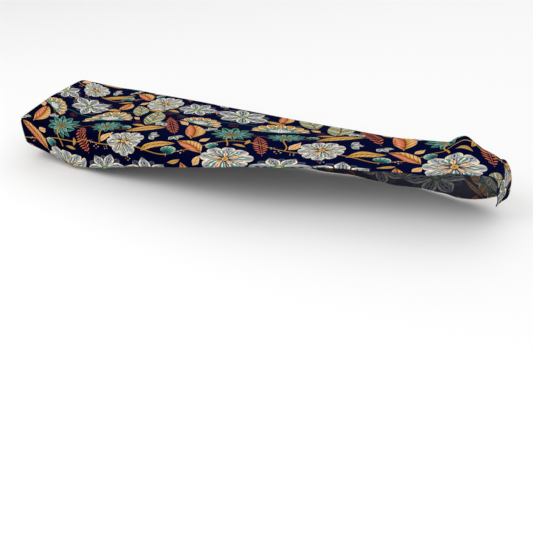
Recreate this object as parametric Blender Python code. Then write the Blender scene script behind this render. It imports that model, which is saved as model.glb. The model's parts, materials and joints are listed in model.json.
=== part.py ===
"""Piano keyboard cover: one stretch cloth over an 88-key stage piano, drawn back at the right.

Metres. +X along the keyboard to the player's right, +Y to its back, +Z up. The origin is on
the underside of the top cloth at the middle of the keyboard, where the cover is held.
"""

import math

import bmesh
import bpy
import numpy as np

# The keyboard under the cloth, which sets the fit.
LEFT = 0.6720  # from the middle to the cloth's inner face at the left end
RIGHT = 0.6460  # from the middle to the last section, before the loose right end
HALF_DEPTH = 0.1430
FRONT_DROP = 0.0160  # the key front is this far under the rear top panel

# The cloth.
CLOTH = 0.0020
HEM = 0.0032  # thickness of the turned hem
HEM_LEVELS = 1  # rows of the mesh that the hem takes
EDGE_R = 0.0100  # rounding over the top edges
LOW_R = 0.0120  # rounding under the bottom edges
CORNER_R = 0.0240  # plan rounding of the upright corners
CORNER_WRAP = 0.0165  # how far the hem reaches under at a corner

# Mesh rows.
STATIONS = 64  # along the length
LEVELS = 12  # from the fold line to the hem
ACROSS = 14  # over the top, fold line to back edge

# Sections along the length. Distances on the cloth's path are measured from the front top
# edge: below 0 lies back over the top, above 0 goes down the front face and under.
# fold: the crease between top and front panel. hem: the front hem. ridge: how far the crease
# stands off the keyboard. low: level of the front's bottom edge. back_out: bulge of the back
# panel. back_low: level of its lowest line. back_wrap: how far its hem reaches under.
# back_rise: height of the back top edge over the panel.
SECTIONS = (
    # x, fold, hem, ridge, low, back_out, back_low, back_wrap, back_rise
    (-0.672, 0.000, 0.1160, 0.0000, -0.093, 0.000, -0.112, 0.016, 0.0070),
    (-0.646, -0.002, 0.1250, 0.0000, -0.096, 0.000, -0.117, 0.018, 0.0062),
    (-0.600, -0.004, 0.1360, 0.0004, -0.106, 0.001, -0.121, 0.028, 0.0046),
    (-0.545, -0.007, 0.1450, 0.0008, -0.120, 0.002, -0.123, 0.030, 0.0036),
    (-0.500, -0.010, 0.1490, 0.0010, -0.132, 0.003, -0.123, 0.030, 0.0030),
    (-0.460, -0.013, 0.1440, 0.0012, -0.130, 0.003, -0.124, 0.028, 0.0042),
    (-0.425, -0.017, 0.1180, 0.0015, -0.123, 0.002, -0.124, 0.028, 0.0050),
    (-0.369, -0.024, 0.1010, 0.0018, -0.121, 0.002, -0.123, 0.030, 0.0034),
    (-0.310, -0.032, 0.0860, 0.0020, -0.121, 0.003, -0.123, 0.030, 0.0040),
    (-0.249, -0.041, 0.0700, 0.0025, -0.121, 0.005, -0.125, 0.026, 0.0040),
    (-0.144, -0.056, 0.0500, 0.0034, -0.121, 0.006, -0.126, 0.026, 0.0028),
    (-0.006, -0.079, 0.0210, 0.0046, -0.121, 0.008, -0.128, 0.022, 0.0014),
    (0.090, -0.108, 0.0000, 0.0056, -0.121, 0.010, -0.130, 0.018, 0.0002),
    (0.191, -0.155, -0.0300, 0.0060, -0.121, 0.012, -0.134, 0.012, 0.0000),
    (0.253, -0.182, -0.0540, 0.0062, -0.121, 0.014, -0.137, 0.008, 0.0008),
    (0.318, -0.222, -0.0735, 0.0058, -0.121, 0.017, -0.140, 0.006, 0.0000),
    (0.383, -0.252, -0.0845, 0.0046, -0.121, 0.019, -0.142, 0.004, 0.0010),
    (0.433, -0.258, -0.1020, 0.0070, -0.121, 0.020, -0.142, 0.004, 0.0060),
    (0.486, -0.258, -0.1095, 0.0120, -0.121, 0.020, -0.140, 0.004, 0.0110),
    (0.518, -0.256, -0.1145, 0.0200, -0.121, 0.020, -0.138, 0.004, 0.0150),
    (0.543, -0.253, -0.1295, 0.0410, -0.121, 0.018, -0.136, 0.006, 0.0220),
    (0.560, -0.252, -0.1420, 0.0480, -0.121, 0.017, -0.134, 0.008, 0.0240),
    (0.582, -0.254, -0.1510, 0.0350, -0.121, 0.016, -0.132, 0.008, 0.0180),
    (0.604, -0.257, -0.1535, 0.0200, -0.121, 0.015, -0.126, 0.010, 0.0120),
    (0.630, -0.258, -0.1620, 0.0100, -0.121, 0.012, -0.116, 0.010, 0.0030),
    (0.646, -0.256, -0.1640, 0.0020, -0.121, 0.008, -0.106, 0.010, -0.0050),
)
COLUMNS = ("x", "fold", "hem", "ridge", "low", "back_out", "back_low", "back_wrap", "back_rise")

# The hem down the right end, from the top edge to the back corner.
RIGHT_HEM = (
    # along, x, y, z
    (0.000, 0.6460, 0.0310, 0.0000),
    (0.040, 0.6543, 0.0315, -0.0020),
    (0.115, 0.6622, 0.0365, -0.0155),
    (0.310, 0.6640, 0.0560, -0.0525),
    (0.440, 0.6655, 0.0690, -0.0780),
    (0.545, 0.6625, 0.0790, -0.0985),
    (0.600, 0.6660, 0.0900, -0.0968),
    (0.725, 0.6775, 0.1140, -0.0916),
    (0.820, 0.6790, 0.1340, -0.0880),
    (1.000, 0.6460, 0.1400, -0.1060),
)
RIGHT_BULGE = 0.016  # how far the loose right end stands out
LEFT_BULGE = 0.004  # how far the left end stands out at mid height

# Soft folds pushed into the cloth. level runs from 0 at the crease to 1 at the hem.
FRONT_FOLDS = (
    # x, level, lean, length, width, height
    (-0.300, 0.30, 0.35, 0.090, 0.022, 0.0028),
    (-0.110, 0.55, 0.50, 0.110, 0.026, -0.0026),
    (0.050, 0.60, 0.45, 0.120, 0.026, 0.0030),
    (0.190, 0.50, 0.60, 0.110, 0.028, -0.0022),
    (0.330, 0.45, 0.50, 0.100, 0.024, 0.0034),
    (0.450, 0.55, -0.30, 0.080, 0.022, -0.0028),
    (0.510, 0.55, 0.25, 0.090, 0.020, 0.0044),
    (0.590, 0.50, -0.45, 0.080, 0.022, 0.0046),
)
BACK_FOLDS = (
    # x, lean, width, height
    (-0.520, 0.10, 0.032, 0.0020),
    (-0.330, -0.12, 0.036, 0.0024),
    (-0.120, 0.08, 0.034, 0.0034),
    (0.060, -0.15, 0.036, 0.0046),
    (0.165, 0.12, 0.032, -0.0036),
    (0.270, -0.10, 0.036, 0.0060),
    (0.370, 0.16, 0.032, -0.0046),
    (0.460, -0.12, 0.034, 0.0064),
    (0.550, 0.14, 0.030, -0.0040),
)


def smooth_table(rows, columns, at):
    """Each column at the stations, by a monotone cubic through the table's rows."""
    table = np.array(rows, float)
    x, found = table[:, 0], {}
    step = np.diff(x)
    for i, name in enumerate(columns):
        y = table[:, i]
        slope = np.diff(y) / step
        tangent = np.zeros(len(x))
        for j in range(1, len(x) - 1):
            if slope[j - 1] * slope[j] > 0:
                a, b = 2 * step[j] + step[j - 1], step[j] + 2 * step[j - 1]
                tangent[j] = (a + b) / (a / slope[j - 1] + b / slope[j])
        tangent[0], tangent[-1] = slope[0], slope[-1]
        j = np.clip(np.searchsorted(x, at) - 1, 0, len(step) - 1)
        t = (at - x[j]) / step[j]
        found[name] = (
            (2 * t**3 - 3 * t**2 + 1) * y[j]
            + (t**3 - 2 * t**2 + t) * step[j] * tangent[j]
            + (3 * t**2 - 2 * t**3) * y[j + 1]
            + (t**3 - t**2) * step[j] * tangent[j + 1]
        )
    return found


def ease(a, b, value):
    t = np.clip((value - a) / (b - a), 0, 1)
    return t * t * (3 - 2 * t)


def top_level(y):
    """The cloth's level over the top: flat on the rear panel, then down to the key fronts."""
    return -FRONT_DROP * np.clip(-y / HALF_DEPTH, 0, 1) ** 1.1


def drop_path(d, top, low, wrap):
    """Inset from the face and level, a distance d past the top edge: over, down, under."""
    quarter = math.pi / 2
    down = max(top - EDGE_R - (low + LOW_R), 0.004)
    if d < quarter * EDGE_R:
        a = d / EDGE_R
        return EDGE_R * (1 - math.sin(a)), top - EDGE_R * (1 - math.cos(a))
    d -= quarter * EDGE_R
    if d < down:
        return 0.0, top - EDGE_R - d
    d -= down
    if d < quarter * LOW_R:
        a = d / LOW_R
        return LOW_R * (1 - math.cos(a)), top - EDGE_R - down - LOW_R * math.sin(a)
    d -= quarter * LOW_R
    return max(min(LOW_R + d, wrap), LOW_R), low - 0.04 * d


def path_length(top, low, wrap):
    """Length of drop_path from the top edge to the hem. A short wrap ends on the rounding."""
    down = max(top - EDGE_R - (low + LOW_R), 0.004)
    turned = math.acos(1 - min(wrap / LOW_R, 1))
    return math.pi / 2 * EDGE_R + down + LOW_R * turned + max(wrap - LOW_R, 0)


def bump(u, v, length, width):
    return math.exp(-((u / length) ** 2) - (v / width) ** 2)


def row_place(fold, hem, level):
    """The path distance of a level: rows gather where they turn over the front top edge."""
    d = np.linspace(fold, hem, 120)
    count = np.cumsum(1 + 1.6 * np.exp(-(((d - 0.008) / 0.014) ** 2)))
    return float(np.interp(count[0] + (count[-1] - count[0]) * level, count, d))


def front_point(x, row, level, low, wrap):
    """The front panel at a level from 0 at the crease to 1 at the hem."""
    front_top = top_level(-HALF_DEPTH + EDGE_R)
    d = row_place(row["fold"], row["hem"], level)
    if d < 0:
        y = -HALF_DEPTH + EDGE_R - d
        z = top_level(y)
    else:
        inset, z = drop_path(d, front_top, low, wrap)
        y = -HALF_DEPTH + inset
    # The crease stands up, and the panel in front of it sags back to the keyboard.
    z += row["ridge"] * (1 - level) ** 1.6
    for fx, at, lean, length, width, height in FRONT_FOLDS:
        along = (x - fx) - lean * 0.14 * (level - at)
        z_push = height * bump((level - at) * 0.14, along, length / 2, width)
        z += z_push * ease(-0.002, 0.03, -d) * ease(0, 0.15, level)
        y -= z_push * ease(0.0, 0.02, d)
    return y, z


def back_point(x, row, level):
    """The back panel at a level from 0 at the back top edge to 1 at its hem."""
    top = row["back_rise"]
    wrap = row["back_wrap"]
    length = path_length(top, row["back_low"], wrap)
    inset, z = drop_path(level * length, top, row["back_low"], wrap)
    out = row["back_out"] * math.sin(math.pi * min(level * 0.62 + 0.06, 1)) ** 1.2
    for fx, lean, width, height in BACK_FOLDS:
        along = (x - fx) - lean * 0.12 * (level - 0.5)
        out += height * bump(0, along, 1, width) * ease(0.05, 0.4, level)
    return HALF_DEPTH - inset + out, z


def top_point(x, row, a, front, back):
    """Over the top, from the crease at a = 0 to the back top edge at a = 1."""
    y = front[0] + (back[0] - front[0]) * a
    span = max(back[0] - front[0], 1e-6)
    # The crease's lift dies away within 50 mm, and the back edge's within 40 mm.
    from_front, from_back = a * span, (1 - a) * span
    z = top_level(y)
    near_front = math.exp(-((from_front / 0.040) ** 1.5))
    near_back = math.exp(-((from_back / 0.035) ** 1.5))
    lift_front = front[1] - top_level(front[0])
    lift_back = back[1] - top_level(back[0])
    weight = near_front + near_back * (1 - near_front)
    if weight > 0:
        share = near_back / (near_front + near_back)
        blended = lift_front * (1 - share) + lift_back * share
        linear = lift_front * (1 - a) + lift_back * a
        short = ease(0.12, 0.03, span) if span < 0.12 else 0.0
        z += (weight * blended) * (1 - short) + linear * short
    return y, z


def rounded_corner(x, y_face, inset, side):
    """Pulls a left-end point round the upright corner, by its distance from the end."""
    e = x + LEFT
    if e >= CORNER_R:
        return x, y_face
    # The station's place on the arc, 45 degrees at the corner line.
    phi = math.pi / 4 * (1 - e / CORNER_R)
    radius = CORNER_R - inset
    centre_x, centre_y = -LEFT + CORNER_R, HALF_DEPTH - CORNER_R
    return centre_x - radius * math.sin(phi), side * (centre_y + radius * math.cos(phi))


def stations():
    """Places of the sections along X: round the left corner, then closer over the hump."""
    start = [-LEFT + CORNER_R * e for e in (0.0, 0.33, 0.66, 1.0)]
    at = np.linspace(start[-1], RIGHT, 400)
    path = np.cumsum(1 + 0.8 * ease(0.38, 0.50, at))
    path = (path - path[0]) / (path[-1] - path[0])
    rest = np.interp(np.linspace(0, 1, STATIONS - len(start) + 1)[1:], path, at)
    return np.array(start + list(rest))


def left_end(rows, front, back):
    """The left end panel: rings at each level from the front corner line to the back's."""
    grid = np.zeros((LEVELS + 1, ACROSS + 1, 3))
    centre_x, centre_y = -LEFT + CORNER_R, HALF_DEPTH - CORNER_R
    for k in range(LEVELS + 1):
        a, b, level = front[k], back[k], k / LEVELS
        grid[k, 0], grid[k, -1] = a, b
        for j in range(1, ACROSS):
            t = j / ACROSS
            y = a[1] + (b[1] - a[1]) * t
            top = top_level(y) + rows[0]["back_rise"] * t
            low = rows[0]["low"] + (rows[0]["back_low"] - rows[0]["low"]) * t
            length = path_length(top, low, CORNER_WRAP)
            inset, z_path = drop_path(level * length, top, low, CORNER_WRAP)
            flat = ease(0.0, 0.10, t) * ease(1.0, 0.90, t)
            z = (a[2] + (b[2] - a[2]) * t) * (1 - flat) + z_path * flat
            radius = CORNER_R - inset
            over = min(max(abs(y) - centre_y, 0.0), radius)
            x = min(centre_x - math.sqrt(radius**2 - over**2), -LEFT + CORNER_R)
            grid[k, j] = (x - LEFT_BULGE * math.sin(math.pi * level), y, z)
    return grid


def right_end(front, back):
    """The right end panel: a blend of its four edges, with the loose cloth's bulge."""
    along = np.linspace(0, 1, ACROSS + 1)
    hem = smooth_table(RIGHT_HEM, ("along", "x", "y", "z"), along)
    grid = np.zeros((LEVELS + 1, ACROSS + 1, 3))
    front, back = np.array(front), np.array(back)
    for j in range(ACROSS + 1):
        a = j / ACROSS
        hem_j = np.array([hem["x"][j], hem["y"][j], hem["z"][j]])
        if j == 0:
            hem_j = front[-1]
        if j == ACROSS:
            hem_j = back[-1]
        top_j = front[0] * (1 - a) + back[0] * a + np.array([0.004 * math.sin(math.pi * a), 0, 0])
        for k in range(LEVELS + 1):
            t = k / LEVELS
            corners = (
                (1 - a) * (1 - t) * front[0]
                + (1 - a) * t * front[-1]
                + a * (1 - t) * back[0]
                + a * t * back[-1]
            )
            p = (1 - t) * top_j + t * hem_j + (1 - a) * front[k] + a * back[k] - corners
            swell = math.sin(math.pi * a) ** 0.75 * math.sin(math.pi * t**0.85) ** 0.9
            grid[k, j] = p + swell * np.array([RIGHT_BULGE, 0.008 * a, 0.004])
    return grid


def outer_surface():
    """Rings of points from the crease down to the hem, and the patch over the top."""
    xs = stations()
    table = smooth_table(SECTIONS, COLUMNS, xs)
    rows = [{name: table[name][i] for name in COLUMNS} for i in range(len(xs))]
    front = np.zeros((len(xs), LEVELS + 1, 3))
    back = np.zeros((len(xs), LEVELS + 1, 3))
    top = np.zeros((len(xs), ACROSS + 1, 3))
    for i, (x, row) in enumerate(zip(xs, rows)):
        wrap = CORNER_WRAP + 0.014 * ease(-0.640, -0.560, x)
        for k in range(LEVELS + 1):
            level = k / LEVELS
            y, z = front_point(x, row, level, row["low"], wrap)
            fx, fy = rounded_corner(x, y, HALF_DEPTH + y, -1)
            front[i, k] = (fx, fy, z)
            y, z = back_point(x, row, level)
            bx, by = rounded_corner(x, y, HALF_DEPTH - y, 1)
            back[i, k] = (bx, by, z)
            # The left end's bulge starts in the corners.
            out = LEFT_BULGE * math.sin(math.pi * level) * ease(-0.64, -LEFT, x)
            front[i, k, 0] -= out
            back[i, k, 0] -= out
        for j in range(ACROSS + 1):
            a = j / ACROSS
            y, z = top_point(
                x, row, a, (front[i, 0, 1], front[i, 0, 2]), (back[i, 0, 1], back[i, 0, 2])
            )
            edge_x = front[i, 0, 0] + (back[i, 0, 0] - front[i, 0, 0]) * a
            top[i, j] = (edge_x, y, z)
        top[i, 0], top[i, -1] = front[i, 0], back[i, 0]
    left = left_end(rows, front[0], back[0])
    right = right_end(front[-1], back[-1])
    # The end rings at level 0 are the top patch's own ends.
    for j in range(1, ACROSS):
        top[0, j] = left[0, j]
        top[-1, j] = right[0, j]
    return front, back, top, left, right


def build():
    front, back, top, left, right = outer_surface()
    count = front.shape[0]
    points, index = [], {}

    def at(key, p):
        if key not in index:
            index[key] = len(points)
            points.append(tuple(p))
        return index[key]

    def front_v(i, k):
        return at(("f", i, k), front[i, k])

    def back_v(i, k):
        return at(("b", i, k), back[i, k])

    def top_v(i, j):
        if j == 0:
            return front_v(i, 0)
        if j == ACROSS:
            return back_v(i, 0)
        return at(("t", i, j), top[i, j])

    def left_v(k, j):
        if j == 0:
            return front_v(0, k)
        if j == ACROSS:
            return back_v(0, k)
        return top_v(0, j) if k == 0 else at(("l", k, j), left[k, j])

    def right_v(k, j):
        if j == 0:
            return front_v(count - 1, k)
        if j == ACROSS:
            return back_v(count - 1, k)
        return top_v(count - 1, j) if k == 0 else at(("r", k, j), right[k, j])

    faces, level_of = [], {}
    for i in range(count - 1):
        for j in range(ACROSS):
            faces.append((top_v(i, j), top_v(i + 1, j), top_v(i + 1, j + 1), top_v(i, j + 1)))
        for k in range(LEVELS):
            faces.append(
                (front_v(i, k + 1), front_v(i + 1, k + 1), front_v(i + 1, k), front_v(i, k))
            )
            faces.append((back_v(i, k), back_v(i + 1, k), back_v(i + 1, k + 1), back_v(i, k + 1)))
    for k in range(LEVELS):
        for j in range(ACROSS):
            faces.append((left_v(k, j), left_v(k, j + 1), left_v(k + 1, j + 1), left_v(k + 1, j)))
            faces.append(
                (right_v(k, j), right_v(k + 1, j), right_v(k + 1, j + 1), right_v(k, j + 1))
            )
    for key, v in index.items():
        level_of[v] = key[1] if key[0] in "lr" else key[2] if key[0] in "fb" else 0

    outer = np.array(points)
    normals = np.zeros_like(outer)
    for face in faces:
        a, b, c, d = (outer[v] for v in face)
        n = np.cross(c - a, d - b)
        for v in face:
            normals[v] += n
    normals /= np.linalg.norm(normals, axis=1)[:, None]
    thick = np.array(
        [HEM if level_of[v] > LEVELS - HEM_LEVELS else CLOTH for v in range(len(outer))]
    )
    outer = outer + normals * thick[:, None]
    inner = outer - normals * thick[:, None]

    mesh = bpy.data.meshes.new("cover")
    bm = bmesh.new()
    out_v = [bm.verts.new(p) for p in outer]
    in_v = [bm.verts.new(p) for p in inner]
    edge_use = {}
    for face in faces:
        bm.faces.new([out_v[v] for v in face])
        bm.faces.new([in_v[v] for v in reversed(face)])
        for a, b in zip(face, face[1:] + face[:1]):
            edge_use[(a, b)] = True
    for a, b in edge_use:
        if (b, a) not in edge_use:
            bm.faces.new([out_v[b], out_v[a], in_v[a], in_v[b]])
    bmesh.ops.triangulate(bm, faces=bm.faces[:])
    bm.to_mesh(mesh)
    bm.free()
    return mesh


for old in list(bpy.data.objects):
    bpy.data.objects.remove(old)
part = bpy.data.collections.new("piano_keyboard_cover")
bpy.context.scene.collection.children.link(part)
cover = bpy.data.objects.new("cover", build())
part.objects.link(cover)
fabric = bpy.data.materials.new("printed_knit")
fabric.use_nodes = True
shader = fabric.node_tree.nodes["Principled BSDF"]
shader.inputs["Base Color"].default_value = (0.03, 0.04, 0.12, 1)
shader.inputs["Roughness"].default_value = 0.85
cover.data.materials.append(fabric)
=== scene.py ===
"""Looks of the piano keyboard cover: one printed stretch cloth, drawn back at the right.

Metres. +X along the keyboard to the player's right, +Y to its back, +Z up. The origin is on
the underside of the top cloth at the middle of the keyboard.
"""

import json
import math

import bpy
import numpy as np
from mathutils import Vector
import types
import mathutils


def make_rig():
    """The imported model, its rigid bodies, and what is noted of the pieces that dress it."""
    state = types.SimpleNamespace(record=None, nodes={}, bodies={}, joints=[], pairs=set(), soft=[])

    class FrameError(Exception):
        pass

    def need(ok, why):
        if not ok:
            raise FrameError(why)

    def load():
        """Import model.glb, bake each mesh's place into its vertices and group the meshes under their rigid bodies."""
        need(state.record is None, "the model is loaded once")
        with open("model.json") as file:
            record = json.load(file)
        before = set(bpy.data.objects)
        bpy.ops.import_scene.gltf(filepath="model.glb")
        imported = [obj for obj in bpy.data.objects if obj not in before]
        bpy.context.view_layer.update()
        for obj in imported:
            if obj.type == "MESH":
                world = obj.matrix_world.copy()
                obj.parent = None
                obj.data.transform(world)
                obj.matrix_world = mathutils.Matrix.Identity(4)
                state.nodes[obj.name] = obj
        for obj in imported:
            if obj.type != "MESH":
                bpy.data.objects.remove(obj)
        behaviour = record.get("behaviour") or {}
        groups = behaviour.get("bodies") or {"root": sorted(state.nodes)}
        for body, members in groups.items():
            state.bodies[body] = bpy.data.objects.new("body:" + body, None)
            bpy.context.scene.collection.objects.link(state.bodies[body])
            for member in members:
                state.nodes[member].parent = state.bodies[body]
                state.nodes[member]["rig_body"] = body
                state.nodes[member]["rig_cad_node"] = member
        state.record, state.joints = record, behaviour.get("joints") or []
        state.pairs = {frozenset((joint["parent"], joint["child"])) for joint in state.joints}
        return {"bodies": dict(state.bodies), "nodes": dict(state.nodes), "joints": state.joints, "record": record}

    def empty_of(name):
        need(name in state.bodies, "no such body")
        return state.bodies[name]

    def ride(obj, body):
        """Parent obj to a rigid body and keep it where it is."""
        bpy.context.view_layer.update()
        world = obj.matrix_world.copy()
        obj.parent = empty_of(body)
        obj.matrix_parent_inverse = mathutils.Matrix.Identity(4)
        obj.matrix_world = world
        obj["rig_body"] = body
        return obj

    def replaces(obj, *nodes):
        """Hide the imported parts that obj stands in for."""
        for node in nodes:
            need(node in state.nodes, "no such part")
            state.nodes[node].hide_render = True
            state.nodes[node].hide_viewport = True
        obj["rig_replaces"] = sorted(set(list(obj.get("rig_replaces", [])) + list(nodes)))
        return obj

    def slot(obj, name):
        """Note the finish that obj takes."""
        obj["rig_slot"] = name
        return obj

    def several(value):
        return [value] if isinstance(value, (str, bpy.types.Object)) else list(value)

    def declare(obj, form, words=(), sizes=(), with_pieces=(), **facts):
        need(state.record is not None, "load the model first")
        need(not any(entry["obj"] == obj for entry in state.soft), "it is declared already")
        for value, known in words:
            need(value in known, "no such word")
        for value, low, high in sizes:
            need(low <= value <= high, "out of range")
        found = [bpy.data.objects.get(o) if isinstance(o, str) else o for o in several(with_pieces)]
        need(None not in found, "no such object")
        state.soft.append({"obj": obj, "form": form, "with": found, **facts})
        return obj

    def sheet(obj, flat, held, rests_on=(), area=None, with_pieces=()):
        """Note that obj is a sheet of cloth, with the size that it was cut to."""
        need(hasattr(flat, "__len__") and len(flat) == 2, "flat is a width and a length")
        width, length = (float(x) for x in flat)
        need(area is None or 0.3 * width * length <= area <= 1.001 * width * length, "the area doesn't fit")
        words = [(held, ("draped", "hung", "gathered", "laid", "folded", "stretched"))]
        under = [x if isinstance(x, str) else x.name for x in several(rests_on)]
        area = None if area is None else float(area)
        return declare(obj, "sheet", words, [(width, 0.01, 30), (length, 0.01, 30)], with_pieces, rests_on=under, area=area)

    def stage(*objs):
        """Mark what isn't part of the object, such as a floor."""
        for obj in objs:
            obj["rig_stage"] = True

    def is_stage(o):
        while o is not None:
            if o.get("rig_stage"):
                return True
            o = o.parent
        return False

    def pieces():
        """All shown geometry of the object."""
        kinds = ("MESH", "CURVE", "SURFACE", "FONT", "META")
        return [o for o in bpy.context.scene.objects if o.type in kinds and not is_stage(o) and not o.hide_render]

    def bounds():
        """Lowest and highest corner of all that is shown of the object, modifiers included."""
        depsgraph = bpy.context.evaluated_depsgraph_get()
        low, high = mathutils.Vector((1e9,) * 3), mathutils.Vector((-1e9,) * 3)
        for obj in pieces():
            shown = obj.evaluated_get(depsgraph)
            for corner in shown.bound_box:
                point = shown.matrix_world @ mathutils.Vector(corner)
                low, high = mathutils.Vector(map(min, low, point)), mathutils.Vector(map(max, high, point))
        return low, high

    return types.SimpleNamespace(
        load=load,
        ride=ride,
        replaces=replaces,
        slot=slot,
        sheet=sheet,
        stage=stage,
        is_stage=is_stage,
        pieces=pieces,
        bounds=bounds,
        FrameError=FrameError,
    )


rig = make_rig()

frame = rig.load()
cad_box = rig.bounds()

# The keyboard under the cloth, which sets the fit.
LEFT = 0.6720
RIGHT = 0.6460
HALF_DEPTH = 0.1430
FRONT_DROP = 0.0160

# The cloth.
OUTER = 0.0020  # its face stands this far off the keyboard's surface
THIN = 0.0009  # thickness of the knit
HEM_DEPTH = 0.0110  # the turned hem, measured from the edge
HEM_EXTRA = 0.0011  # how far the hem's second layer lifts its face
HEM_SOFT = 0.002  # half the width over which it does so
HEM_INWARD = 0.4  # the share of that lift by which the inner face moves inwards
GROOVE, GROOVE_WIDTH = 0.0004, 0.0016  # along the hem's stitches
EDGE_R = 0.0100
LOW_R = 0.0120
CORNER_R = 0.0240
CORNER_WRAP = 0.0165

# Mesh rows.
STATIONS = 300
LEVELS = 36
ACROSS = 56
CORNER_ROWS = 7  # of the stations, those round the left corner

# Sections along the length. Distances on the cloth's path are measured from the front top
# edge: below 0 lies back over the top, above 0 goes down the front face and under.
COLUMNS = ("x", "fold", "hem", "ridge", "low", "back_out", "back_low", "back_wrap", "back_rise")
SECTIONS = (
    (-0.672, 0.000, 0.1160, 0.0000, -0.093, 0.000, -0.112, 0.016, 0.0070),
    (-0.646, -0.002, 0.1250, 0.0000, -0.096, 0.000, -0.117, 0.018, 0.0062),
    (-0.600, -0.004, 0.1360, 0.0004, -0.106, 0.001, -0.121, 0.028, 0.0046),
    (-0.545, -0.007, 0.1450, 0.0008, -0.120, 0.002, -0.123, 0.030, 0.0036),
    (-0.500, -0.010, 0.1490, 0.0010, -0.132, 0.003, -0.123, 0.030, 0.0030),
    (-0.460, -0.013, 0.1440, 0.0012, -0.130, 0.003, -0.124, 0.028, 0.0042),
    (-0.425, -0.017, 0.1180, 0.0015, -0.123, 0.002, -0.124, 0.028, 0.0050),
    (-0.369, -0.024, 0.1010, 0.0018, -0.121, 0.002, -0.123, 0.030, 0.0034),
    (-0.310, -0.032, 0.0860, 0.0020, -0.121, 0.003, -0.123, 0.030, 0.0040),
    (-0.249, -0.041, 0.0700, 0.0025, -0.121, 0.005, -0.125, 0.026, 0.0040),
    (-0.144, -0.056, 0.0500, 0.0034, -0.121, 0.006, -0.126, 0.026, 0.0028),
    (-0.006, -0.079, 0.0210, 0.0046, -0.121, 0.008, -0.128, 0.022, 0.0014),
    (0.090, -0.108, 0.0000, 0.0056, -0.121, 0.010, -0.130, 0.018, 0.0002),
    (0.191, -0.155, -0.0300, 0.0060, -0.121, 0.012, -0.134, 0.012, 0.0000),
    (0.253, -0.182, -0.0540, 0.0062, -0.121, 0.014, -0.137, 0.008, 0.0008),
    (0.318, -0.222, -0.0735, 0.0058, -0.121, 0.017, -0.140, 0.006, 0.0000),
    (0.383, -0.252, -0.0845, 0.0046, -0.121, 0.019, -0.142, 0.004, 0.0010),
    (0.433, -0.258, -0.1020, 0.0070, -0.121, 0.020, -0.142, 0.004, 0.0060),
    (0.486, -0.258, -0.1095, 0.0120, -0.121, 0.020, -0.140, 0.004, 0.0110),
    (0.518, -0.256, -0.1145, 0.0200, -0.121, 0.020, -0.138, 0.004, 0.0150),
    (0.543, -0.253, -0.1295, 0.0410, -0.121, 0.018, -0.136, 0.006, 0.0220),
    (0.560, -0.252, -0.1420, 0.0480, -0.121, 0.017, -0.134, 0.008, 0.0240),
    (0.582, -0.254, -0.1510, 0.0350, -0.121, 0.016, -0.132, 0.008, 0.0180),
    (0.604, -0.257, -0.1535, 0.0200, -0.121, 0.015, -0.126, 0.010, 0.0120),
    (0.630, -0.258, -0.1620, 0.0100, -0.121, 0.012, -0.116, 0.010, 0.0030),
    (0.646, -0.256, -0.1640, 0.0020, -0.121, 0.008, -0.106, 0.010, -0.0050),
)

# The hem down the right end, from the top edge to the back corner.
RIGHT_HEM = (
    # along, x, y, z
    (0.000, 0.6460, 0.0310, 0.0000),
    (0.040, 0.6543, 0.0315, -0.0020),
    (0.115, 0.6622, 0.0365, -0.0155),
    (0.310, 0.6640, 0.0560, -0.0525),
    (0.440, 0.6655, 0.0690, -0.0780),
    (0.545, 0.6625, 0.0790, -0.0985),
    (0.600, 0.6660, 0.0900, -0.0968),
    (0.725, 0.6775, 0.1140, -0.0916),
    (0.820, 0.6790, 0.1340, -0.0880),
    (1.000, 0.6460, 0.1400, -0.1060),
)
RIGHT_BULGE = 0.016
LEFT_BULGE = 0.004

# Soft folds pushed into the cloth. level runs from 0 at the crease to 1 at the hem.
FRONT_FOLDS = (
    # x, level, lean, length, width, height
    (-0.300, 0.30, 0.35, 0.090, 0.022, 0.0028),
    (-0.110, 0.55, 0.50, 0.110, 0.026, -0.0026),
    (0.050, 0.60, 0.45, 0.120, 0.026, 0.0030),
    (0.190, 0.50, 0.60, 0.110, 0.028, -0.0022),
    (0.330, 0.45, 0.50, 0.100, 0.024, 0.0034),
    (0.450, 0.55, -0.30, 0.080, 0.022, -0.0028),
    (0.510, 0.55, 0.25, 0.090, 0.020, 0.0044),
    (0.590, 0.50, -0.45, 0.080, 0.022, 0.0046),
)
BACK_FOLDS = (
    # x, lean, width, height
    (-0.520, 0.10, 0.032, 0.0020),
    (-0.330, -0.12, 0.036, 0.0024),
    (-0.120, 0.08, 0.034, 0.0034),
    (0.060, -0.15, 0.036, 0.0046),
    (0.165, 0.12, 0.032, -0.0036),
    (0.270, -0.10, 0.036, 0.0060),
    (0.370, 0.16, 0.032, -0.0046),
    (0.460, -0.12, 0.034, 0.0064),
    (0.550, 0.14, 0.030, -0.0040),
)


# The cloth's shape


def smooth_table(rows, columns, at):
    """Each column at the stations, by a monotone cubic through the table's rows."""
    table = np.array(rows, float)
    x, found = table[:, 0], {}
    step = np.diff(x)
    for i, name in enumerate(columns):
        y = table[:, i]
        slope = np.diff(y) / step
        tangent = np.zeros(len(x))
        for j in range(1, len(x) - 1):
            if slope[j - 1] * slope[j] > 0:
                a, b = 2 * step[j] + step[j - 1], step[j] + 2 * step[j - 1]
                tangent[j] = (a + b) / (a / slope[j - 1] + b / slope[j])
        tangent[0], tangent[-1] = slope[0], slope[-1]
        j = np.clip(np.searchsorted(x, at) - 1, 0, len(step) - 1)
        t = (at - x[j]) / step[j]
        found[name] = (
            (2 * t**3 - 3 * t**2 + 1) * y[j]
            + (t**3 - 2 * t**2 + t) * step[j] * tangent[j]
            + (3 * t**2 - 2 * t**3) * y[j + 1]
            + (t**3 - t**2) * step[j] * tangent[j + 1]
        )
    return found


def ease(a, b, value):
    t = np.clip((value - a) / (b - a), 0, 1)
    return t * t * (3 - 2 * t)


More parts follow.
